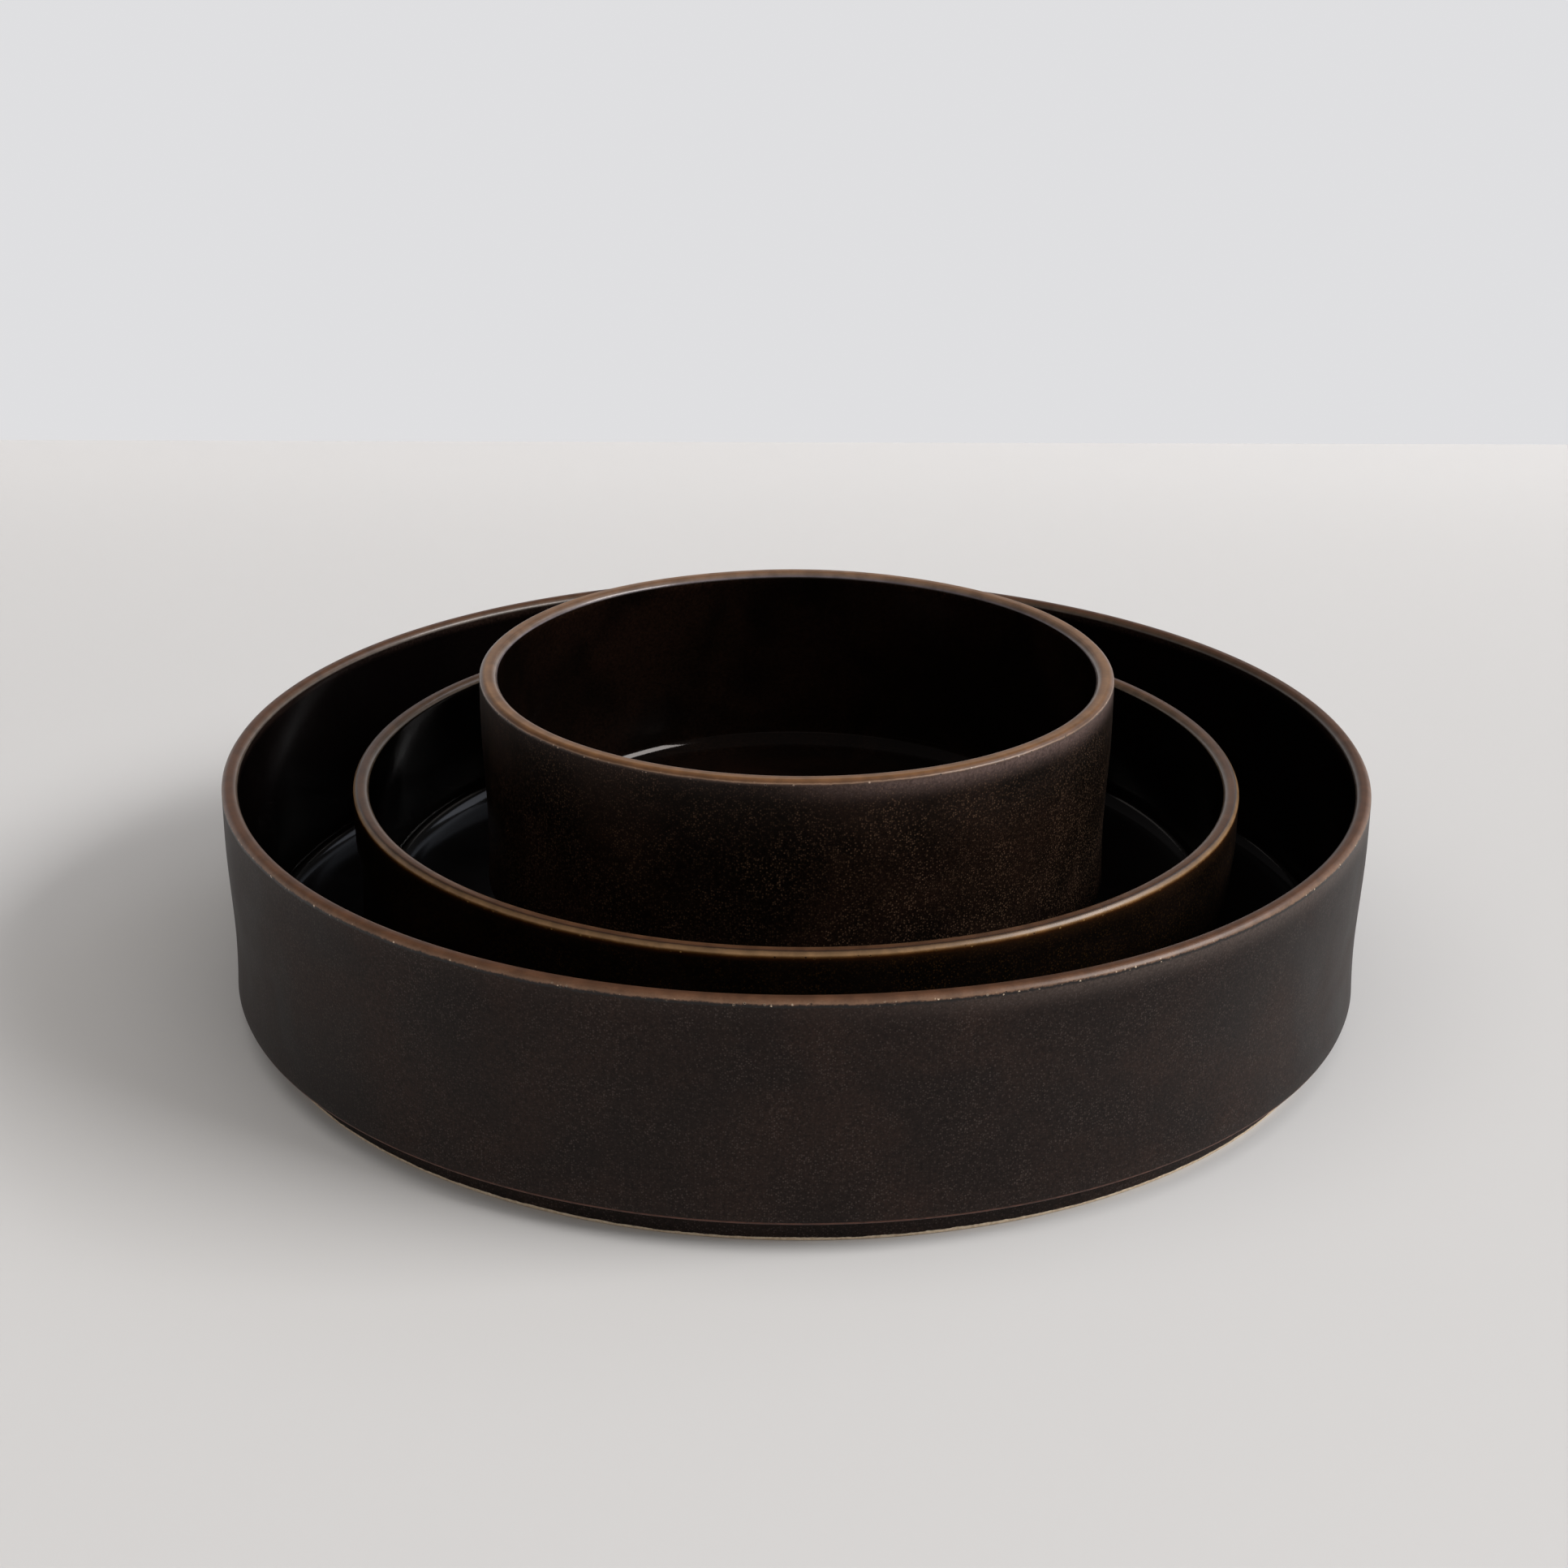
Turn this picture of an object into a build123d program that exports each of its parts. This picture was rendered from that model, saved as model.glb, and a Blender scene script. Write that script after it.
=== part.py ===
from build123d import *
import os

# Three round, straight-sided, glazed ceramic dishes standing one inside the other on one axis.
# Each dish is a single fired piece: a flat floor, an upright wall with a slight waist, a rounded
# lip, and a stepped-in foot that ends in a ring.
# Millimetres. The origin is the middle of the large dish's foot ring, and +Z is up.

# Rim diameters, over the lip
LARGE_RIM_DIAMETER = 255.0
MEDIUM_RIM_DIAMETER = 198.2
SMALL_RIM_DIAMETER = 141.0

# Heights, from each dish's own foot ring to the top of its lip
LARGE_HEIGHT = 54.4
MEDIUM_HEIGHT = 41.3
SMALL_HEIGHT = 55.4

# Inside floors, above each dish's own foot ring
LARGE_FLOOR_LEVEL = 9.5
MEDIUM_FLOOR_LEVEL = 10.0
SMALL_FLOOR_LEVEL = 10.5

# Widths of the lips
LARGE_LIP_WIDTH = 3.4
MEDIUM_LIP_WIDTH = 3.4
SMALL_LIP_WIDTH = 4.0

# Wall: thickness where it meets the floor, and how far its outside draws in from the rim's radius
WALL_AT_FLOOR = 3.7
WAIST_DRAW = 0.95
WAIST_LEVEL = 18.5
LOWER_EDGE_DRAW = 0.55
UPRIGHT_BAND = 10.0

# Foot: the step under the wall, and the ring that the dish stands on
FOOT_STEP_HEIGHT = 6.2
FOOT_STEP_INSET = 5.5
FOOT_RING_WIDTH = 4.5
FOOT_RECESS_DEPTH = 4.5

# Rounded corners
LIP_OUTER_ROUND = 1.2
LIP_INNER_ROUND = 1.6
FLOOR_ROUND = 5.0
LOWER_EDGE_ROUND = 0.9
STEP_ROUND = 1.0
RING_ROUND = 0.6
RECESS_ROUND = 1.5

# The gap between one dish's foot ring and the floor that it stands on: they touch
RESTING_GAP = 0.0


def dish(rim_diameter, height, floor_level, lip_width):
    """A dish on its own foot ring at Z = 0: half its section, turned once around Z."""
    rim = rim_diameter / 2
    lower_edge = rim - LOWER_EDGE_DRAW
    foot = rim - FOOT_STEP_INSET
    ring_inside = foot - FOOT_RING_WIDTH
    wall_inside = lower_edge - WALL_AT_FLOOR
    lip_inside = rim - lip_width

    outside = Spline(
        (lower_edge, FOOT_STEP_HEIGHT),
        (rim - WAIST_DRAW, WAIST_LEVEL),
        (rim, height - UPRIGHT_BAND),
        tangents=((-0.08, 1), (0, 1)),
    )
    rest = Polyline(
        (rim, height - UPRIGHT_BAND),
        (rim, height),
        (lip_inside, height),
        (wall_inside, floor_level),
        (0, floor_level),
        (0, FOOT_RECESS_DEPTH),
        (ring_inside, FOOT_RECESS_DEPTH),
        (ring_inside, 0),
        (foot, 0),
        (foot, FOOT_STEP_HEIGHT),
        (lower_edge, FOOT_STEP_HEIGHT),
    )
    section = make_face(outside + rest)
    rounds = [
        ((rim, height), LIP_OUTER_ROUND),
        ((lip_inside, height), LIP_INNER_ROUND),
        ((wall_inside, floor_level), FLOOR_ROUND),
        ((ring_inside, FOOT_RECESS_DEPTH), RECESS_ROUND),
        ((ring_inside, 0), RING_ROUND),
        ((foot, 0), RING_ROUND),
        ((foot, FOOT_STEP_HEIGHT), STEP_ROUND),
        ((lower_edge, FOOT_STEP_HEIGHT), LOWER_EDGE_ROUND),
    ]
    for corner, radius in rounds:
        section = fillet(section.vertices().sort_by_distance(corner)[0], radius)
    return revolve(Plane.XZ * section, Axis.Z)


# Each dish stands on the floor of the one around it
medium_base = LARGE_FLOOR_LEVEL + RESTING_GAP
small_base = medium_base + MEDIUM_FLOOR_LEVEL + RESTING_GAP

parts = {
    "large_dish": dish(LARGE_RIM_DIAMETER, LARGE_HEIGHT, LARGE_FLOOR_LEVEL, LARGE_LIP_WIDTH),
    "medium_dish": Pos(0, 0, medium_base)
    * dish(MEDIUM_RIM_DIAMETER, MEDIUM_HEIGHT, MEDIUM_FLOOR_LEVEL, MEDIUM_LIP_WIDTH),
    "small_dish": Pos(0, 0, small_base)
    * dish(SMALL_RIM_DIAMETER, SMALL_HEIGHT, SMALL_FLOOR_LEVEL, SMALL_LIP_WIDTH),
}

os.makedirs("parts", exist_ok=True)
for name, shape in parts.items():
    export_step(shape, f"parts/{name}.step")
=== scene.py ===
import math

import bpy
import numpy as np
from mathutils import Matrix, Vector


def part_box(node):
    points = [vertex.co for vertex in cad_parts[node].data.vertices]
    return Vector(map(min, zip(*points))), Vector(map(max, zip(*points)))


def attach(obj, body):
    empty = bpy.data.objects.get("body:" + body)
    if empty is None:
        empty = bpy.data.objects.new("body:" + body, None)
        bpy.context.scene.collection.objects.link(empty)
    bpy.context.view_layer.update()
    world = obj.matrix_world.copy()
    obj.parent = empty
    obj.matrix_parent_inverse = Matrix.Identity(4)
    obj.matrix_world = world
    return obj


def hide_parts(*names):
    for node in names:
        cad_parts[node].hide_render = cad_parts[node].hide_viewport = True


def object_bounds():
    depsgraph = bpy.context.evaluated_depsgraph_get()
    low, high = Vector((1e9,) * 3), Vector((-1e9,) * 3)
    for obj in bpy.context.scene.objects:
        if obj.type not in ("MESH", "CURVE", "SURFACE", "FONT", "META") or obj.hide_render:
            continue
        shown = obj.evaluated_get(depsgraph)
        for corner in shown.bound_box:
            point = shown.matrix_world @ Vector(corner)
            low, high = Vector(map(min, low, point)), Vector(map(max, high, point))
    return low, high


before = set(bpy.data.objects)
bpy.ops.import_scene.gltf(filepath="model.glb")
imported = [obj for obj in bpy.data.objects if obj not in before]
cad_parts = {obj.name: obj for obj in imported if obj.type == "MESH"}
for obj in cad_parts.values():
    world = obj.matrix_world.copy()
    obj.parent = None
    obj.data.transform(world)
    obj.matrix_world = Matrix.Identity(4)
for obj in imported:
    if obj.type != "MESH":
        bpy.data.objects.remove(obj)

cad_low, cad_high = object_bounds()
scene = bpy.context.scene
scene.view_settings.view_transform = "Standard"


# ---------------------------------------------------------------- the camera
# A fairly long lens on a stand in front of the dishes, a little above them and
# looking down into them. It is turned and rolled by a fraction of a degree.
camera = bpy.data.objects.new("camera", bpy.data.cameras.new("camera"))
scene.collection.objects.link(camera)
camera.data.sensor_width = 36.0
camera.data.lens = 64.35
camera.data.clip_start, camera.data.clip_end = 0.01, 20.0
camera_place = Vector((0.0, -0.5897, 0.2829))
camera_turn, camera_down, camera_roll = (
    math.radians(-0.2594), math.radians(21.90), math.radians(0.3463))
camera.matrix_world = (
    Matrix.Translation(camera_place)
    @ Matrix.Rotation(-camera_turn, 4, "Z")
    @ Matrix.Rotation(math.pi / 2 - camera_down, 4, "X")
    @ Matrix.Rotation(camera_roll, 4, "Z"))
scene.camera = camera


# ------------------------------------------------------- the table and the wall
# A pale painted table top under the dishes, a pale painted board standing
# behind them, and a low pale wall far off all round. None belongs to the set.
TABLE_WIDTH = 4.0
BOARD_DISTANCE, BOARD_SKEW, BOARD_HEIGHT = 0.470, 0.017, 0.21
ROOM_RADIUS, ROOM_HEIGHT, ROOM_SIDES = 1.95, 0.7, 64
TABLE_PAINT = (0.62, 0.60, 0.585)
BOARD_PAINT = (0.74, 0.74, 0.755)


def painted_panel(name, corners, faces, paint, lit):
    """A panel of flat faces whose front is painted and whose back is
    see-through. Where lit is not zero the camera and the glaze see the paint
    at that strength, whatever the lamps do."""
    mesh = bpy.data.meshes.new(name)
    mesh.from_pydata(corners, [], faces)
    material = bpy.data.materials.new(name)
    material.use_nodes = True
    nodes, links = material.node_tree.nodes, material.node_tree.links
    front = nodes["Principled BSDF"]
    front.inputs["Base Color"].default_value = (*paint, 1)
    front.inputs["Roughness"].default_value = 0.75
    front.inputs["Specular IOR Level"].default_value = 0.2
    shown = front.outputs[0]
    if lit:
        glow = nodes.new("ShaderNodeEmission")
        glow.inputs["Color"].default_value = (*paint, 1)
        glow.inputs["Strength"].default_value = lit
        path = nodes.new("ShaderNodeLightPath")
        seen = nodes.new("ShaderNodeMath")
        seen.operation = "MAXIMUM"
        links.new(path.outputs["Is Camera Ray"], seen.inputs[0])
        links.new(path.outputs["Is Glossy Ray"], seen.inputs[1])
        choose = nodes.new("ShaderNodeMixShader")
        links.new(seen.outputs[0], choose.inputs[0])
        links.new(front.outputs[0], choose.inputs[1])
        links.new(glow.outputs[0], choose.inputs[2])
        shown = choose.outputs[0]
    side = nodes.new("ShaderNodeNewGeometry")
    clear = nodes.new("ShaderNodeBsdfTransparent")
    either = nodes.new("ShaderNodeMixShader")
    links.new(side.outputs["Backfacing"], either.inputs[0])
    links.new(shown, either.inputs[1])
    links.new(clear.outputs[0], either.inputs[2])
    links.new(either.outputs[0], nodes["Material Output"].inputs["Surface"])
    mesh.materials.append(material)
    panel = bpy.data.objects.new(name, mesh)
    scene.collection.objects.link(panel)
    return panel


half, ground = TABLE_WIDTH / 2, cad_low.z
painted_panel(
    "table_top",
    [(-half, -half, ground), (half, -half, ground), (half, half, ground), (-half, half, ground)],
    [(0, 1, 2, 3)], TABLE_PAINT, lit=0)
# The board is skewed a little, so its right end stands further back.
left_end, right_end = BOARD_DISTANCE - half * BOARD_SKEW, BOARD_DISTANCE + half * BOARD_SKEW
board = painted_panel(
    "back_board",
    [(-half, left_end, ground), (half, right_end, ground),
     (half, right_end, BOARD_HEIGHT), (-half, left_end, BOARD_HEIGHT)],
    [(0, 1, 2, 3)], BOARD_PAINT, lit=1.0)
board.visible_shadow = False
# The wall is an upright band of flat panels on a circle, facing inwards.
side = np.arange(ROOM_SIDES)
next_side = np.roll(side, -1)
turn = side * 2 * np.pi / ROOM_SIDES
ring = np.stack([ROOM_RADIUS * np.cos(turn), ROOM_RADIUS * np.sin(turn), 0 * turn + ground], 1)
wall = painted_panel(
    "room_wall", np.vstack([ring, ring + [0, 0, ROOM_HEIGHT]]).tolist(),
    np.stack([next_side, side, side + ROOM_SIDES, next_side + ROOM_SIDES], 1).tolist(),
    TABLE_PAINT, lit=1.0)
wall.visible_shadow = False


# ---------------------------------------------------------------- the lamps
# One broad soft lamp well up at the right, like a window, a much fainter bluish
# one beside it towards the back, and a pale ceiling that fills the shadows.
def soft_lamp(name, azimuth, elevation, distance, width, height, watts, colour):
    """A rectangular lamp at azimuth degrees from +X towards +Y and elevation
    degrees up, turned to face the middle of the dishes."""
    lamp = bpy.data.objects.new(name, bpy.data.lights.new(name, "AREA"))
    lamp.data.shape = "RECTANGLE"
    lamp.data.size, lamp.data.size_y = width, height
    lamp.data.energy = watts
    lamp.data.color = colour
    a, e = math.radians(azimuth), math.radians(elevation)
    way = Vector((math.cos(a) * math.cos(e), math.sin(a) * math.cos(e), math.sin(e)))
    lamp.location = way * distance
    lamp.rotation_mode = "QUATERNION"
    lamp.rotation_quaternion = way.to_track_quat("Z", "Y")
    scene.collection.objects.link(lamp)
    return lamp


soft_lamp("window_lamp", azimuth=-12, elevation=34, distance=6.5, width=4.5, height=1.95,
          watts=425.0, colour=(0.97, 0.985, 1.0))
soft_lamp("back_glow", azimuth=30, elevation=37, distance=6.5, width=3.6, height=1.8,
          watts=36.0, colour=(0.76, 0.85, 1.0))
# The ceiling doesn't show in the glaze.
ceiling = soft_lamp("ceiling_fill", azimuth=-90, elevation=70, distance=4.0, width=8.0,
                    height=6.0, watts=142.0, colour=(1.0, 0.985, 0.965))
ceiling.visible_glossy = False

room = bpy.data.worlds.new("room")
scene.world = room
room.use_nodes = True
room_light = room.node_tree.nodes["Background"]
room_light.inputs["Color"].default_value = (0.90, 0.90, 0.92, 1)
room_light.inputs["Strength"].default_value = 0.10


# ------------------------------------------------------------- the large dish
# The outer dish: one piece of stoneware turned and pressed in a mould, with a
# stepped foot. It is dipped in an iron glaze that fires to a satin brown-black
# and runs thin on the lip, where it breaks to a pinkish brown.
MM = 0.001

# The wall draws in a little above the foot and stands upright near the rim.
LOWER_EDGE_DRAW, WAIST_DRAW = 0.55 * MM, 0.95 * MM
WAIST_LEVEL, UPRIGHT_BAND = 18.5 * MM, 10.0 * MM
WALL_AT_FLOOR = 3.7 * MM
# The stepped foot: its height, its inset from the rim, and the ring's width
# with the depth of the hollow inside it.
FOOT_STEP, FOOT_INSET, FOOT_RING, FOOT_RECESS = 6.2 * MM, 5.5 * MM, 4.5 * MM, 4.5 * MM
# The rounds, from the floor's corner over the lip and down to the hollow.
ROUNDS = np.array([5.0, 1.6, 1.2, 0.9, 1.0, 0.6, 0.6, 1.5]) * MM
ROUND_STEPS = 14
# The coat of glaze outside the lip: its thickness, and how far from the lip's
# middle it starts and is full.
COAT_THICKNESS, COAT_STARTS, COAT_FULL = 0.09 * MM, 1.75 * MM, 2.10 * MM
# Marks on the surface: the worn lower edge's half width, the reach of the
# floor's corner, and the height to which the foot is wiped bare.
WORN_REACH, CORNER_REACH, WIPED_HEIGHT = 0.6 * MM, 5.0 * MM, 0.85 * MM


def eased(t):
    """0 below 0, 1 above 1, and 3t^2 - 2t^3 between."""
    t = np.clip(t, 0, 1)
    return t * t * (3 - 2 * t)


def rounded_section(corners, radii):
    """The line through the corners, (radius, height) each, with every inner
    corner replaced by a circular arc. An arc is the rational curve through the
    two tangent points whose middle weight is the sine of half the corner."""
    corners, radii = np.array(corners), np.array(radii)
    back = corners[:-2] - corners[1:-1]
    on = corners[2:] - corners[1:-1]
    back /= np.linalg.norm(back, axis=1)[:, None]
    on /= np.linalg.norm(on, axis=1)[:, None]
    half_corner = np.arccos(np.clip((back * on).sum(1), -1, 1)) / 2
    reach = (radii / np.tan(half_corner))[:, None]
    start, middle, end = corners[1:-1] + back * reach, corners[1:-1], corners[1:-1] + on * reach
    t = np.linspace(0, 1, ROUND_STEPS)[None, :, None]
    weight = np.sin(half_corner)[:, None, None]
    a, b, c = (1 - t) ** 2, 2 * t * (1 - t) * weight, t ** 2
    arcs = (a * start[:, None] + b * middle[:, None] + c * end[:, None]) / (a + b + c)
    return np.vstack([corners[:1], arcs.reshape(-1, 2), corners[-1:]])


def dish_section(rim, height, floor_level, lip_width, points):
    """The dish's section from the middle of its floor, up the inside, over
    the lip, down the outside, under the foot and back to the middle. Returned
    as points rows of (radius, height, distance along it from the lip's
    middle). The points crowd at the lip and at the other rounded corners."""
    lower_edge, foot = rim - LOWER_EDGE_DRAW, rim - FOOT_INSET
    ring_inside = foot - FOOT_RING
    line = rounded_section(
        [(0, floor_level), (lower_edge - WALL_AT_FLOOR, floor_level),
         (rim - lip_width, height), (rim, height), (rim, FOOT_STEP), (foot, FOOT_STEP),
         (foot, 0), (ring_inside, 0), (ring_inside, FOOT_RECESS), (0, FOOT_RECESS)], ROUNDS)
    # Fill the long straight runs so that the drawn-in wall can curve.
    fine_steps = 6000
    along = np.r_[0, np.cumsum(np.linalg.norm(np.diff(line, axis=0), axis=1))]
    s = np.linspace(0, along[-1], fine_steps)
    radius, level = np.interp(s, along, line[:, 0]), np.interp(s, along, line[:, 1])
    widest = np.argmax(radius)
    lip_middle = np.interp(rim - lip_width / 2, radius[:widest], s[:widest])
    from_lip = s - lip_middle
    # Above the waist the draw eases from nothing to WAIST_DRAW, and below it
    # eases back to LOWER_EDGE_DRAW.
    upper = (height - UPRIGHT_BAND - level) / (height - UPRIGHT_BAND - WAIST_LEVEL)
    lower = (WAIST_LEVEL - level) / (WAIST_LEVEL - FOOT_STEP)
    draw = WAIST_DRAW * eased(upper) - (WAIST_DRAW - LOWER_EDGE_DRAW) * np.clip(lower, 0, 1) ** 2
    wall_starts = foot + 1.2 * MM
    radius = radius - np.where((from_lip > 0) & (radius > wall_starts), draw, 0)
    # Points per metre: few on the flats, more at each turn (by the 3/4 power of
    # its tightness) and many within 2.6 mm of the lip's middle.
    heading = np.unwrap(np.arctan2(np.gradient(level), np.gradient(radius)))
    turning = np.abs(np.gradient(heading, s))
    at_lip = np.exp(-(from_lip / (2.6 * MM)) ** 4)
    crowd = 260 + 9 * np.minimum(turning, 2500) ** 0.75 + 5200 * at_lip
    share = np.r_[0, np.cumsum((crowd[1:] + crowd[:-1]) / 2 * np.diff(s))]
    pick = np.interp(np.linspace(0, share[-1], points), share, s)
    return np.stack([np.interp(pick, s, v) for v in (radius, level, from_lip)], 1)


def wander(angle, seed, waves, size):
    """A closed wavy line round the dish: a sum of cosines with every whole
    number of waves in the range waves, their heights and phases random but
    fixed by seed, scaled until its standard deviation is size."""
    rng = np.random.default_rng(seed)
    waves = np.arange(*waves)
    weight = rng.normal(size=len(waves)) / waves ** 0.5
    phase = rng.uniform(0, 2 * np.pi, len(waves))
    line = (weight[:, None] * np.cos(waves[:, None] * angle + phase[:, None])).sum(0)
    return line / line.std() * size


def turned_dish(name, node, floor_level, lip_width, raggedness, seed, rounds, points):
    """Carries the section round the axis of the CAD node's box: a point at an
    angle is the centre plus its radius times the cosine and sine. The radius
    and the rim level wander by a twentieth of a millimetre, more and more
    towards the rim, and from a ragged line outside the lip the coat of glaze
    stands proud of the bare edge all the way down to the foot."""
    low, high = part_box(node)
    centre_x, centre_y = (low.x + high.x) / 2, (low.y + high.y) / 2
    rim, height = (high.x - low.x) / 2, high.z - low.z
    section = dish_section(rim, height, floor_level, lip_width, points)
    radius, level, from_lip = section[:, :1], section[:, 1:2], section[:, 2:]
    angle = np.arange(rounds) * 2 * np.pi / rounds
    out_of_round = wander(angle, seed, (2, 7), 0.05 * MM)
    rim_wave = wander(angle, seed + 1, (2, 9), 0.05 * MM)
    ragged = wander(angle, seed + 2, (9, 340), raggedness)
    # How far a point is past the ragged line, which only the outside has.
    outer_side = eased((from_lip + 0.5 * MM) / (1.5 * MM))
    across = from_lip + ragged * outer_side
    # The coat's face is the wall's own surface, so the bare edge lies under it.
    coated = eased((across - COAT_STARTS) / (COAT_FULL - COAT_STARTS)) - (from_lip > 0)
    lift = np.clip(level / height, 0, 1) ** 2
    grown = radius + (radius > 0.2 * rim) * out_of_round * lift
    grown = grown + COAT_THICKNESS * coated * (level > FOOT_STEP)
    x = centre_x + grown * np.cos(angle)
    y = centre_y + grown * np.sin(angle)
    z = low.z + level + (rim_wave - rim_wave.max()) * lift
    # The first and last rows lie on the axis, so each is a single vertex.
    grid = np.stack([x, y, z + 0 * x], 2)
    vertices = np.vstack([grid[0, :1], grid[1:-1].reshape(-1, 3), grid[-1, :1]])
    rows = len(grid) - 2
    here = 1 + np.arange(rows)[:, None] * rounds + np.arange(rounds)
    there = np.roll(here, -1, 1)
    quads = np.stack([here[:-1], here[1:], there[1:], there[:-1]], 2).reshape(-1, 4)
    middle_fan = np.stack([np.zeros(rounds, int), here[0], there[0]], 1)
    under_fan = np.stack([np.full(rounds, len(vertices) - 1), there[-1], here[-1]], 1)
    faces = middle_fan.tolist() + quads.tolist() + under_fan.tolist()
    mesh = bpy.data.meshes.new(name)
    mesh.from_pydata(vertices.tolist(), [], faces)
    mesh.polygons.foreach_set("use_smooth", np.ones(len(mesh.polygons), bool))

    def paint(label, values):
        """Stores one number a vertex, from a grid of the same rows."""
        values = np.broadcast_to(values, grid.shape[:2])
        flat = np.r_[values[0, :1], values[1:-1].ravel(), values[-1, :1]]
        mesh.attributes.new(label, "FLOAT", "POINT").data.foreach_set(
            "value", flat.astype(np.float32))

    paint("across_lip", across / MM)
    # The worn lower edge of the wall and the floor's corner: 1 at the middle of
    # each, and 0 at its reach along the section.
    worn = from_lip[np.argmin(np.abs(level - FOOT_STEP - 0.35 * MM) + (from_lip < 0))]
    paint("lower_edge", 1 - np.abs(from_lip - worn) / WORN_REACH)
    corner = from_lip[np.argmin(np.abs(level - floor_level - 1.5 * MM) + (from_lip > 0))]
    paint("floor_corner", 1 - np.abs(from_lip - corner) / CORNER_REACH)
    # The wiped foot: millimetres below the wavy line that the sponge left, which
    # takes in the sole of the ring and its two small corners.
    wiped = wander(angle, seed + 3, (6, 200), 0.06 * MM)
    far_out = radius > rim * 0.5
    paint("wiped", (WIPED_HEIGHT + wiped - level) / MM * far_out - ~far_out)
    piece = bpy.data.objects.new(name, mesh)
    scene.collection.objects.link(piece)
    return piece


def new_group(name, ins, outs):
    """An empty shader node group with its inputs and outputs: (name, kind,
    default) and (name, kind)."""
    group = bpy.data.node_groups.new(name, "ShaderNodeTree")
    for label, kind, value in ins:
        group.interface.new_socket(label, in_out="INPUT", socket_type=kind).default_value = value
    for label, kind in outs:
        group.interface.new_socket(label, in_out="OUTPUT", socket_type=kind)
    return group, group.nodes.new("NodeGroupInput"), group.nodes.new("NodeGroupOutput")


def put(tree, kind, links=(), **settings):
    """Adds a node, sets its properties, and joins or sets its inputs from
    (input name or number, source socket or value) pairs."""
    node = tree.nodes.new(kind)
    for key, value in settings.items():
        setattr(node, key, value)
    for label, source in links:
        if isinstance(source, bpy.types.NodeSocket):
            tree.links.new(source, node.inputs[label])
        else:
            node.inputs[label].default_value = source
    return node


def sums(tree, operation, a, b=0.0, c=0.0, clamp=False):
    """One Math node's output."""
    return put(tree, "ShaderNodeMath", ((0, a), (1, b), (2, c)),
               operation=operation, use_clamp=clamp).outputs[0]


def spread(tree, value, low, high, to_low=0.0, to_high=1.0, smooth=True):
    """A Map Range node's output, clamped: to_low at low and to_high at high,
    eased at both ends if smooth, and straight between them if not."""
    return put(tree, "ShaderNodeMapRange",
               (("Value", value), ("From Min", low), ("From Max", high),
                ("To Min", to_low), ("To Max", to_high)),
               interpolation_type="SMOOTHSTEP" if smooth else "LINEAR").outputs[0]


def blend(tree, factor, a, b, kind="MIX"):
    """A colour Mix node's output."""
    return put(tree, "ShaderNodeMix", ((0, factor), (6, a), (7, b)),
               data_type="RGBA", blend_type=kind).outputs[2]


def noise(tree, place, per_metre, detail=2.0, rough=0.5, distort=0.0):
    """A Noise Texture's grey value at a place, with per_metre waves a metre."""
    return put(tree, "ShaderNodeTexNoise",
               (("Vector", place), ("Scale", per_metre), ("Detail", detail),
                ("Roughness", rough), ("Distortion", distort))).outputs[0]


def even_grey(tree, value):
    """A grey colour of the given value, to multiply another colour by."""
    return put(tree, "ShaderNodeCombineColor", ((0, value), (1, value), (2, value))).outputs[0]


# The body of an iron glaze: slow cloudy patches of two browns, a fine grain,
# and tiny crystals that float up in it. Height carries the orange peel.
CLOUDS_A_METRE, GRAINS_A_METRE, PEEL_A_METRE = 38.0, 1500.0, 620.0
CRYSTALS_A_METRE, CLUSTERS_A_METRE = 2300.0, 110.0
glaze_skin, skin_in, skin_out = new_group("glaze_skin", [
    ("Place", "NodeSocketVector", (0, 0, 0)),
    ("Dark", "NodeSocketColor", (0.012, 0.009, 0.007, 1)),
    ("Warm", "NodeSocketColor", (0.020, 0.012, 0.009, 1)),
    ("Crystal", "NodeSocketColor", (0.10, 0.07, 0.04, 1)),
    ("Crystals", "NodeSocketFloat", 0.2),
    ("Grain", "NodeSocketFloat", 0.5)],
    [("Color", "NodeSocketColor"), ("Roughness shift", "NodeSocketFloat"),
     ("Height", "NodeSocketFloat")])
place = skin_in.outputs["Place"]
clouds = noise(glaze_skin, place, CLOUDS_A_METRE, 3.0, 0.55, 0.4)
patches = spread(glaze_skin, clouds, 0.35, 0.68)
body = blend(glaze_skin, patches, skin_in.outputs["Dark"], skin_in.outputs["Warm"])
grain = noise(glaze_skin, place, GRAINS_A_METRE, 2.0, 0.6)
grain_swing = spread(glaze_skin, grain, 0.3, 0.7, smooth=False)
grain_part = sums(glaze_skin, "MULTIPLY", grain_swing, skin_in.outputs["Grain"])
# The grain multiplies the body's colour by 0.55 where it is darkest, and by up
# to 1.75 where it is lightest.
grain_gain = sums(glaze_skin, "MULTIPLY_ADD", grain_part, 1.2, 0.55)
body = blend(glaze_skin, 1.0, body, even_grey(glaze_skin, grain_gain), "MULTIPLY")
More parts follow.
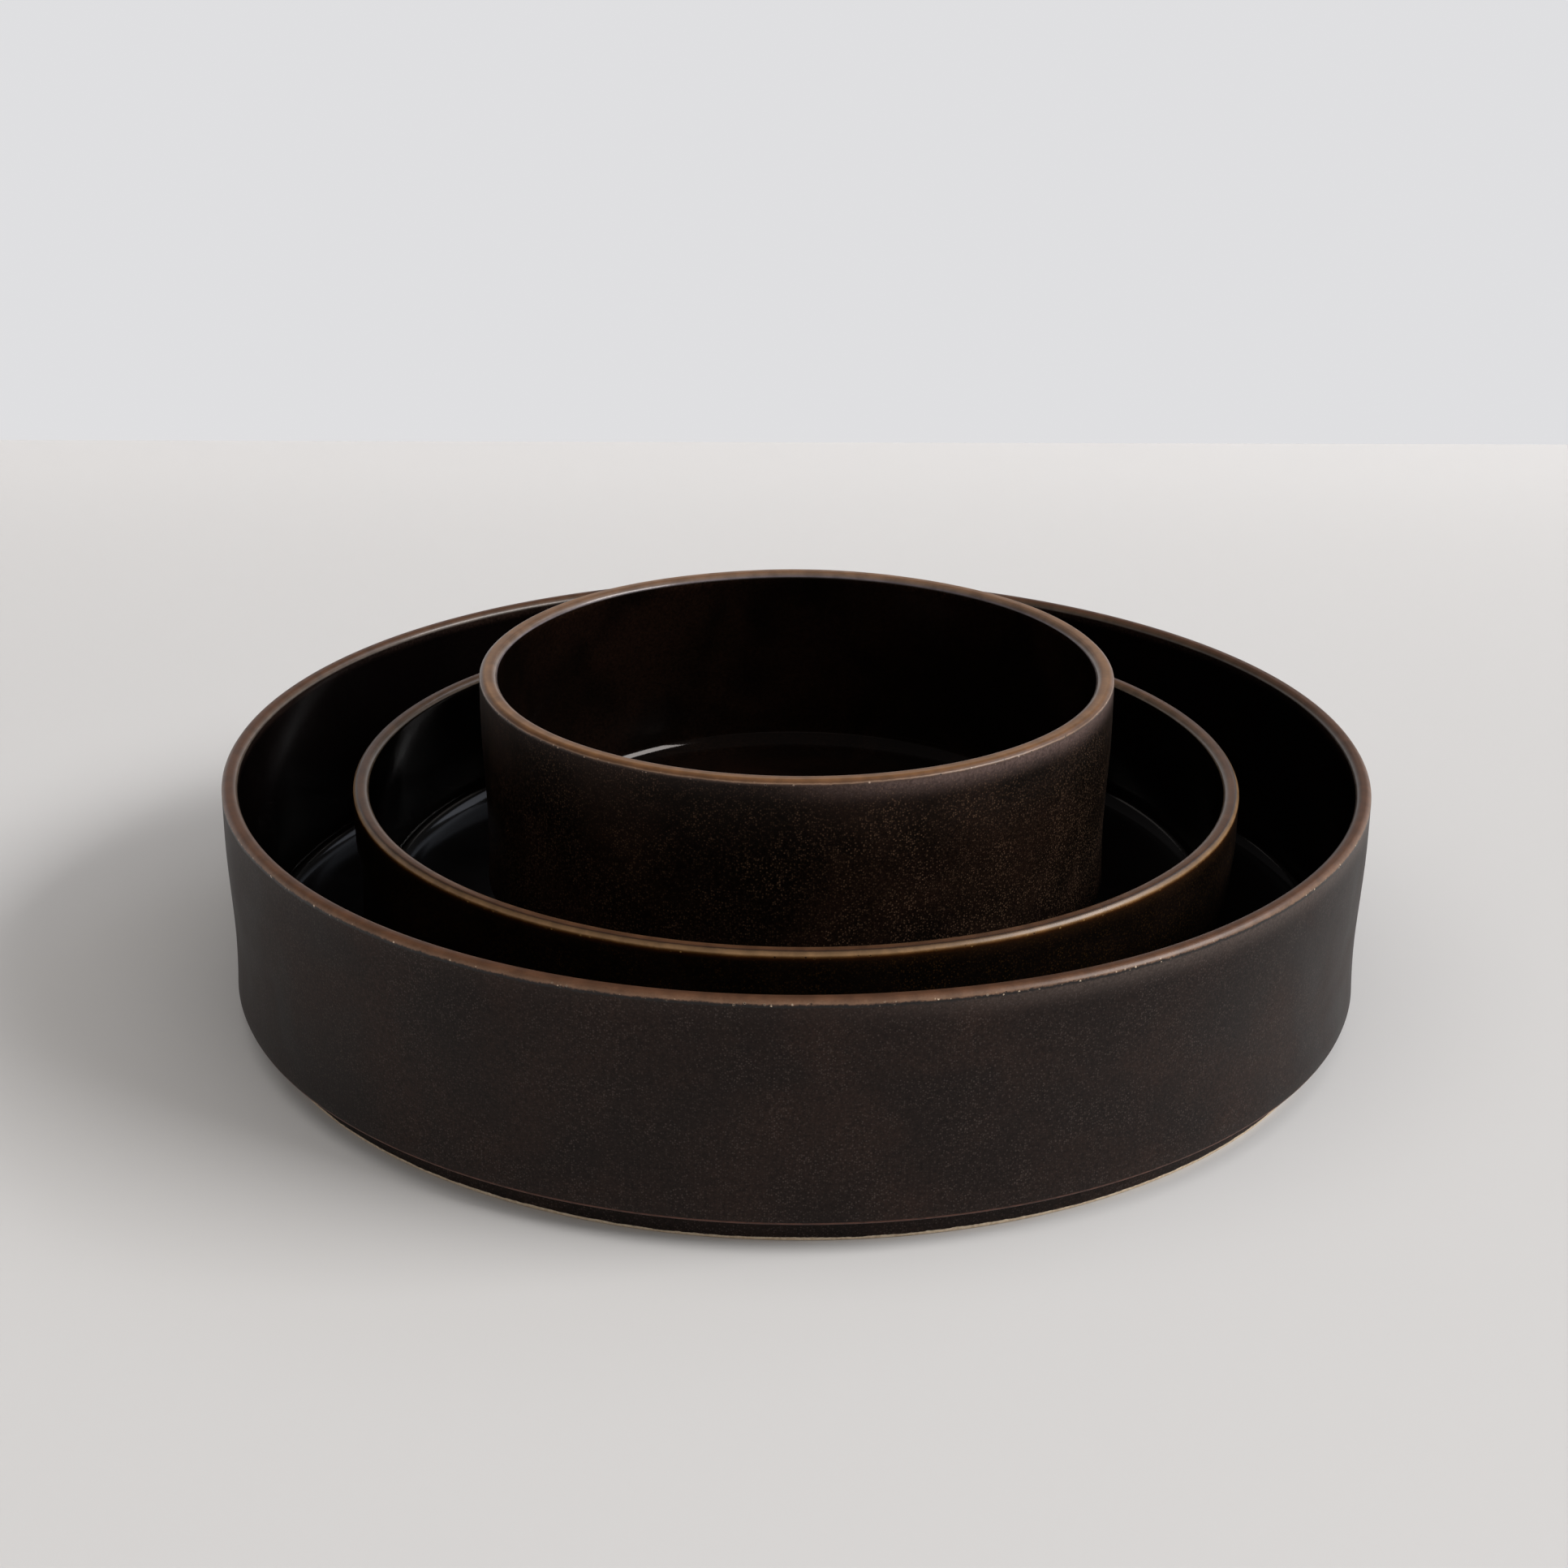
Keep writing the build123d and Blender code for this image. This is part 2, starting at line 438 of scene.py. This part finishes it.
# A crystal sits at the middle of a cell: some cells have a strong one, some
# have hardly any, and they gather in clusters.
cells = put(glaze_skin, "ShaderNodeTexVoronoi",
            (("Vector", place), ("Scale", CRYSTALS_A_METRE)), feature="F1")
dot = spread(glaze_skin, cells.outputs["Distance"], 0.55, 0.18)
chosen = put(glaze_skin, "ShaderNodeSeparateColor", ((0, cells.outputs["Color"]),))
few = spread(glaze_skin, chosen.outputs[0], 0.15, 1.0)
clusters = noise(glaze_skin, place, CLUSTERS_A_METRE, 2.0, 0.6)
cluster = spread(glaze_skin, clusters, 0.36, 0.64, 0.45, 1.0)
crystals = sums(glaze_skin, "MULTIPLY", sums(glaze_skin, "MULTIPLY", dot, few), cluster)
crystals = sums(glaze_skin, "MULTIPLY", crystals, skin_in.outputs["Crystals"], clamp=True)
body = blend(glaze_skin, crystals, body, skin_in.outputs["Crystal"])
peel = noise(glaze_skin, place, PEEL_A_METRE, 2.0, 0.55)
glaze_skin.links.new(body, skin_out.inputs["Color"])
glaze_skin.links.new(spread(glaze_skin, clouds, 0.3, 0.7, -0.04, 0.04),
                     skin_out.inputs["Roughness shift"])
glaze_skin.links.new(sums(glaze_skin, "MULTIPLY_ADD", grain, 0.8, peel),
                     skin_out.inputs["Height"])

# The ragged line where the coat of glaze lets go of the lip: it shifts the
# distance across the lip by fine noise, and drops beads and pinholes on it.
# Its distances are millimetres across the lip, except the reach of a bead or a
# pinhole, which is a part of its cell.
TEETH_A_METRE, BEADS_A_METRE = 1500.0, 1000.0
creeping_edge, edge_in, edge_out = new_group("creeping_edge", [
    ("Place", "NodeSocketVector", (0, 0, 0)),
    ("Across", "NodeSocketFloat", 0.0),
    ("Raggedness", "NodeSocketFloat", 0.25),
    ("Line", "NodeSocketFloat", 1.9)],
    [("Across", "NodeSocketFloat"), ("Beads", "NodeSocketFloat"),
     ("Pinholes", "NodeSocketFloat")])
place = edge_in.outputs["Place"]
teeth = noise(creeping_edge, place, TEETH_A_METRE, 2.0, 0.6)
outer = spread(creeping_edge, edge_in.outputs["Across"], -0.4, 1.0)
shift = sums(creeping_edge, "MULTIPLY", sums(creeping_edge, "MULTIPLY_ADD", teeth, 4.0, -2.0),
             edge_in.outputs["Raggedness"])
shift = sums(creeping_edge, "MULTIPLY", shift, outer)
across = sums(creeping_edge, "ADD", edge_in.outputs["Across"], shift)
from_line = sums(creeping_edge, "ABSOLUTE",
                 sums(creeping_edge, "SUBTRACT", across, edge_in.outputs["Line"]))
near_line = spread(creeping_edge, from_line, 0.45, 0.15)
cells = put(creeping_edge, "ShaderNodeTexVoronoi",
            (("Vector", place), ("Scale", BEADS_A_METRE)), feature="F1")
which = put(creeping_edge, "ShaderNodeSeparateColor", ((0, cells.outputs["Color"]),))
# A cell holds a bead by its first random number and a pinhole by its second.
bead = sums(creeping_edge, "MULTIPLY",
            spread(creeping_edge, cells.outputs["Distance"], 0.30, 0.12),
            spread(creeping_edge, which.outputs[0], 0.35, 0.75))
hole = sums(creeping_edge, "MULTIPLY",
            spread(creeping_edge, cells.outputs["Distance"], 0.27, 0.12),
            spread(creeping_edge, which.outputs[1], 0.55, 0.75))
creeping_edge.links.new(across, edge_out.inputs["Across"])
creeping_edge.links.new(sums(creeping_edge, "MULTIPLY", bead, near_line),
                        edge_out.inputs["Beads"])
creeping_edge.links.new(sums(creeping_edge, "MULTIPLY", hole, near_line),
                        edge_out.inputs["Pinholes"])


def screen(red, green, blue):
    """A colour as a colour chart names it, 0 to 255, in the linear values
    that a shader wants."""
    c = np.array([red, green, blue]) / 255
    return (*np.where(c <= 0.04045, c / 12.92, ((c + 0.055) / 1.055) ** 2.4).tolist(), 1)


BARE_CLAY, DARKER_CLAY = screen(214, 196, 172), screen(190, 168, 142)
# The first is painted shade for the inside of a dish, the second a pinhole's colour.
INSIDE_SHADE, PINHOLE = screen(3, 2, 2), screen(26, 16, 12)
CLAY_ROUGH, CLAY_GRAINS_A_METRE, RELIEF_DEPTH = 0.85, 1200.0, 0.016 * MM
STREAKS_A_METRE, SPECKS_A_METRE = 260.0, 1700.0
WEAR_A_METRE, WAVER_A_METRE = 420.0, 900.0


def dish_glaze(name, dark, warm, crystal, crystals, grain, lip, ragged, line, bead,
               outside_rough, inside_rough, lip_rough, halo_sheen_colour, halo_sheen_reach,
               halo_sheen_strength, lamp_side_azimuth, rim, worn_edge, inside_shade_share, gloss):
    """A dish's whole finish. dark, warm, crystal, crystals and grain are the
    coat's; lip is a list of (millimetres across the lip, colour, cover), and
    where cover is 0 the coat shows: its colours are the glaze's brown break with
    painted highlight lines among them. The coat lets go at line, raggedly, with
    beads on it. The pale band below, partly a painted sheen, reaches from there
    down to its given reach, and is strongest round the side at the given azimuth
    in degrees, the side facing the window lamp. The inside is darkened as painted
    shade by the given share, and gloss is how strongly the coat mirrors."""
    material = bpy.data.materials.new(name)
    material.use_nodes = True
    tree = material.node_tree
    surface = tree.nodes["Principled BSDF"]
    place = put(tree, "ShaderNodeTexCoord").outputs["Object"]
    from_lip = put(tree, "ShaderNodeAttribute", attribute_name="across_lip").outputs["Fac"]
    wiped = put(tree, "ShaderNodeAttribute", attribute_name="wiped").outputs["Fac"]

    # Crystals grow in the thick coat outside, and the inside stays clear.
    outside = spread(tree, from_lip, 1.5, 2.6)
    skin = put(tree, "ShaderNodeGroup", node_tree=glaze_skin)
    for label, value in (("Dark", dark), ("Warm", warm), ("Crystal", crystal), ("Grain", grain)):
        skin.inputs[label].default_value = value
    tree.links.new(place, skin.inputs["Place"])
    tree.links.new(sums(tree, "MULTIPLY", outside, crystals), skin.inputs["Crystals"])

    edge = put(tree, "ShaderNodeGroup", node_tree=creeping_edge)
    edge.inputs["Raggedness"].default_value = ragged
    edge.inputs["Line"].default_value = line
    tree.links.new(place, edge.inputs["Place"])
    tree.links.new(from_lip, edge.inputs["Across"])

    # The colours across the lip, in bands: the browns that the thin glaze
    # breaks to, and painted highlights among them, lighter stops where the
    # rounded edges of the lip catch the light. The stops are all put in place
    # before any is coloured.
    lip_bands_and_highlights = put(tree, "ShaderNodeValToRGB")
    first, last = lip[0][0], lip[-1][0]
    ramp = lip_bands_and_highlights.color_ramp
    while len(ramp.elements) < len(lip):
        ramp.elements.new(0.5)
    for stop, (at, colour, cover) in zip(ramp.elements, lip):
        stop.position = (at - first) / (last - first)
    for stop, (at, colour, cover) in zip(ramp.elements, lip):
        stop.color = (*colour[:3], cover)
    across = spread(tree, edge.outputs["Across"], first, last, smooth=False)
    tree.links.new(across, lip_bands_and_highlights.inputs[0])
    streaks = spread(tree, noise(tree, place, STREAKS_A_METRE, 3.0, 0.6), 0.3, 0.7, 0.78, 1.16)
    lip_colour_and_highlights = blend(tree, 1.0, lip_bands_and_highlights.outputs["Color"], even_grey(tree, streaks), "MULTIPLY")

    # A pale band hangs below the line on the outside, where the coat thins, and
    # it is mostly a painted sheen: it is made strongest on the side that faces the
    # window lamp, where the lamp's light grazes the wall. Towards is the place's
    # reach to that side: 1 at the rim's furthest point.
    azimuth = math.radians(lamp_side_azimuth)
    direction = (math.cos(azimuth) / rim, math.sin(azimuth) / rim, 0)
    towards = put(tree, "ShaderNodeVectorMath", ((0, place), (1, direction)),
                  operation="DOT_PRODUCT").outputs["Value"]
    lamp_side = spread(tree, towards, 0.62, 0.98, 0.06, halo_sheen_strength)
    fade = sums(tree, "POWER", spread(tree, edge.outputs["Across"], halo_sheen_reach, line - 0.4), 1.7)
    halo_sheen = sums(tree, "MULTIPLY", sums(tree, "MULTIPLY", fade, outside), lamp_side)
    specks = noise(tree, place, SPECKS_A_METRE, 2.0, 0.6)
    broken = spread(tree, specks, 0.3, 0.7, 0.55, 1.25, smooth=False)
    halo_sheen = sums(tree, "MULTIPLY", halo_sheen, broken, clamp=True)
    # Inside, below the lip, the colour is darkened to nearly black: painted
    # shade over the whole hollow of the dish.
    inside_shaded = spread(tree, from_lip, -2.4, -4.5, 0.0, inside_shade_share)
    body = blend(tree, inside_shaded, skin.outputs["Color"], INSIDE_SHADE)
    # The pale band goes over the body: painted sheen, strongest on the lamp side.
    body = blend(tree, halo_sheen, body, halo_sheen_colour)
    # The glaze runs thin on the wall's lower edge and breaks there in patches.
    edge_mark = put(tree, "ShaderNodeAttribute", attribute_name="lower_edge").outputs["Fac"]
    patches = spread(tree, noise(tree, place, WEAR_A_METRE, 2.0, 0.6), 0.3, 0.6, 0.45, 1.0)
    worn = sums(tree, "MULTIPLY", spread(tree, edge_mark, 0.15, 0.6), patches)
    body = blend(tree, worn, body, worn_edge)
    colour = blend(tree, lip_bands_and_highlights.outputs["Alpha"], body, lip_colour_and_highlights)
    colour = blend(tree, edge.outputs["Beads"], colour, bead)
    colour = blend(tree, edge.outputs["Pinholes"], colour, PINHOLE)
    # Bare clay shows below the wiped line, which wavers by 0.15 mm either way.
    waver = sums(tree, "MULTIPLY_ADD", noise(tree, place, WAVER_A_METRE, 2.0, 0.5), 0.3, -0.15)
    bare = spread(tree, sums(tree, "ADD", wiped, waver), -0.03, 0.05)
    grains = spread(tree, noise(tree, place, CLAY_GRAINS_A_METRE, 3.0, 0.6), 0.35, 0.7)
    clay = blend(tree, grains, BARE_CLAY, DARKER_CLAY)
    tree.links.new(blend(tree, bare, colour, clay), surface.inputs["Base Color"])

    # Roughness goes from the inside's to the lip's and on to the outside's.
    rough = spread(tree, from_lip, -1.9, -0.5, inside_rough, lip_rough)
    past_line = spread(tree, from_lip, line - 0.3, line + 0.4, 0.0, outside_rough - lip_rough)
    rough = sums(tree, "ADD", rough, past_line)
    rough = sums(tree, "ADD", rough, skin.outputs["Roughness shift"])
    # The glaze that runs down inside lies thickest and smoothest in the corner.
    corner = put(tree, "ShaderNodeAttribute", attribute_name="floor_corner").outputs["Fac"]
    rough = sums(tree, "MULTIPLY", rough, spread(tree, corner, 0.0, 0.6, 1.0, 0.75))
    rough = sums(tree, "MULTIPLY_ADD", edge.outputs["Beads"], -0.2, rough)
    rough = sums(tree, "MULTIPLY_ADD", bare, CLAY_ROUGH - outside_rough, rough)
    tree.links.new(rough, surface.inputs["Roughness"])

    # The orange peel is a third as high inside. Beads stand up from it, and
    # pinholes go in.
    peel_share = spread(tree, from_lip, -3.0, 2.0, 0.35, 1.0)
    relief = sums(tree, "MULTIPLY", skin.outputs["Height"], peel_share)
    relief = sums(tree, "MULTIPLY_ADD", edge.outputs["Beads"], 2.0, relief)
    relief = sums(tree, "MULTIPLY_ADD", edge.outputs["Pinholes"], -3.0, relief)
    bump = put(tree, "ShaderNodeBump",
               (("Height", relief), ("Strength", 1.0), ("Distance", RELIEF_DEPTH)))
    tree.links.new(bump.outputs[0], surface.inputs["Normal"])
    # A thin satin skin of clear glaze stays on the lip.
    lip_coat = sums(tree, "MULTIPLY", lip_bands_and_highlights.outputs["Alpha"], 0.45)
    tree.links.new(lip_coat, surface.inputs["Coat Weight"])
    surface.inputs["Coat Roughness"].default_value = 0.38
    surface.inputs["Specular IOR Level"].default_value = gloss
    surface.inputs["Specular Tint"].default_value = (1.0, 0.90, 0.85, 1)
    return material


# The large lip's bands: the pale grey-brown stop at the inner edge and the light tan one near
# the outer edge are painted highlights; the browns between are the glaze's break.
large_lip_break_and_highlights = [
    (-2.5, screen(20, 14, 11), 0.0), (-2.1, screen(84, 74, 66), 0.9),
    (-1.6, screen(80, 62, 49), 1.0), (-0.7, screen(74, 48, 32), 1.0),
    (0.5, screen(78, 50, 33), 1.0), (1.4, screen(90, 61, 42), 1.0),
    (2.05, screen(110, 83, 64), 1.0), (2.3, screen(60, 42, 32), 1.0),
    (2.45, screen(7, 4, 3), 1.0), (2.7, screen(7, 4, 3), 0.9), (3.0, screen(14, 9, 7), 0.0)]
large = turned_dish(
    "large_dish_glazed", "large_dish", floor_level=9.5 * MM, lip_width=3.4 * MM,
    raggedness=0.05 * MM, seed=11, rounds=720, points=132)
# Its finish paints highlight lines on the lip, a sheen band below it on the lamp side, and shade
# over the inside.
large.data.materials.append(dish_glaze(
    "satin_brown_black_glaze", dark=screen(20, 14, 12), warm=screen(31, 21, 17),
    crystal=screen(94, 82, 76), crystals=0.38, grain=0.9, lip=large_lip_break_and_highlights, ragged=0.2,
    line=2.3, bead=screen(210, 186, 160), outside_rough=0.48, inside_rough=0.14,
    lip_rough=0.5, halo_sheen_colour=screen(96, 84, 78), halo_sheen_reach=9.0, halo_sheen_strength=0.5,
    lamp_side_azimuth=-38, rim=127.5 * MM, worn_edge=screen(92, 62, 52), inside_shade_share=0.92, gloss=0.15))
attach(large, "large")
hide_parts("large_dish")


# ------------------------------------------------------------ the medium dish
# The middle dish: one piece of stoneware, turned like the large one and
# standing loose on its floor. Its glaze is thicker and glossier, and the gold
# line outside the lip is a painted highlight on the lip's outer round.
# The medium lip's bands: the pale stop at the inner edge and the gold band on the outer round
# are painted highlights over the glaze's brown break.
medium_lip_break_and_highlights = [
    (-2.4, screen(16, 11, 9), 0.0), (-2.1, screen(104, 88, 72), 0.9),
    (-1.5, screen(98, 78, 62), 1.0), (-0.4, screen(84, 57, 38), 1.0),
    (0.75, screen(74, 48, 31), 1.0), (1.1, screen(38, 22, 12), 1.0),
    (1.4, screen(96, 71, 46), 1.0), (2.1, screen(138, 105, 70), 1.0),
    (2.45, screen(96, 62, 30), 0.9), (2.75, screen(50, 24, 4), 0.8),
    (3.6, screen(26, 12, 4), 0.0)]
medium = turned_dish(
    "medium_dish_glazed", "medium_dish", floor_level=10.0 * MM, lip_width=3.4 * MM,
    raggedness=0.022 * MM, seed=23, rounds=720, points=132)
# Its finish paints highlight lines on the lip, a sheen band below it on the lamp side, and shade
# over the inside.
medium.data.materials.append(dish_glaze(
    "deep_brown_glaze", dark=screen(8, 5, 3), warm=screen(18, 10, 6),
    crystal=screen(90, 62, 30), crystals=0.25, grain=0.5, lip=medium_lip_break_and_highlights, ragged=0.035,
    line=2.5, bead=screen(150, 116, 70), outside_rough=0.34, inside_rough=0.13,
    lip_rough=0.38, halo_sheen_colour=screen(60, 38, 20), halo_sheen_reach=7.0, halo_sheen_strength=0.3,
    lamp_side_azimuth=-45, rim=99.1 * MM, worn_edge=screen(60, 40, 24), inside_shade_share=0.8, gloss=0.21))
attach(medium, "medium")
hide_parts("medium_dish")


# ------------------------------------------------------------- the small dish
# The innermost dish: one piece of stoneware, the tallest for its width, and
# standing loose on the medium one's floor. Its glaze is full of fine pale-brown
# crystals. A pale band under the lip is partly a painted sheen, strongest on the
# side that faces the window lamp, and the lip carries painted highlight lines.
# The small lip's bands: the pale lavender-grey stop at the inner edge, the light tan middle and
# the light line near the outer edge are painted highlights over the glaze's brown break.
small_lip_break_and_highlights = [
    (-2.6, screen(16, 12, 10), 0.0), (-2.3, screen(106, 96, 98), 0.9),
    (-1.8, screen(102, 84, 72), 1.0), (-0.6, screen(106, 75, 51), 1.0),
    (0.7, screen(122, 89, 61), 1.0), (1.3, screen(104, 71, 43), 1.0),
    (1.9, screen(86, 57, 35), 1.0), (2.15, screen(128, 101, 81), 1.0),
    (2.4, screen(66, 46, 35), 0.7), (2.9, screen(40, 24, 15), 0.0)]
small = turned_dish(
    "small_dish_glazed", "small_dish", floor_level=10.5 * MM, lip_width=4.0 * MM,
    raggedness=0.03 * MM, seed=37, rounds=640, points=140)
# Its finish paints highlight lines on the lip, a sheen band below it on the lamp side, and shade
# over the inside.
small.data.materials.append(dish_glaze(
    "crystal_brown_glaze", dark=screen(9, 5, 3), warm=screen(22, 12, 7),
    crystal=screen(104, 80, 62), crystals=0.58, grain=0.9, lip=small_lip_break_and_highlights, ragged=0.05,
    line=2.3, bead=screen(170, 146, 128), outside_rough=0.38, inside_rough=0.12,
    lip_rough=0.42, halo_sheen_colour=screen(124, 103, 97), halo_sheen_reach=8.5, halo_sheen_strength=0.58,
    lamp_side_azimuth=-46, rim=70.5 * MM, worn_edge=screen(50, 32, 22), inside_shade_share=0.45, gloss=0.21))
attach(small, "small")
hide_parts("small_dish")
